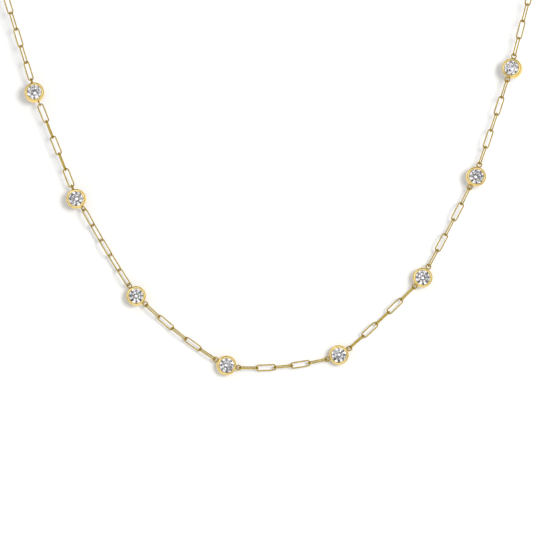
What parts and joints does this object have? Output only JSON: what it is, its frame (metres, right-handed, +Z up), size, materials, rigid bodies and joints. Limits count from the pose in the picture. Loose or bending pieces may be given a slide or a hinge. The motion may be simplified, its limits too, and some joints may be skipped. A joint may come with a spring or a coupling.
{
  "type": "station necklace",
  "caption": "Fine yellow gold paperclip chain in a closed loop, with round bezel-set brilliant stones spaced along its front and a plain clasp at the back.",
  "frame": {"origin": "underside of the clasp at its middle, where the necklace rests on the back of the neck", "axes": "+Z up along the hanging loop, -Y out of the stones' faces, +X to the right as seen from the front"},
  "size_m": [0.1272, 0.0032, 0.1688],
  "materials": {
    "setting_gold": "polished yellow gold",
    "chain_gold": "polished yellow gold wire",
    "clasp_gold": "polished yellow gold",
    "stone": "cut and polished colourless stone"
  },
  "bodies": {
    "root": {"setting_1": "setting_gold", "setting_2": "setting_gold", "setting_3": "setting_gold", "setting_4": "setting_gold", "setting_5": "setting_gold", "setting_6": "setting_gold", "setting_7": "setting_gold", "setting_8": "setting_gold", "stone_1": "stone", "stone_2": "stone", "stone_3": "stone", "stone_4": "stone", "stone_5": "stone", "stone_6": "stone", "stone_7": "stone", "stone_8": "stone", "chain_left": "chain_gold", "chain_right": "chain_gold", "clasp": "clasp_gold"}
  },
  "joints": []
}
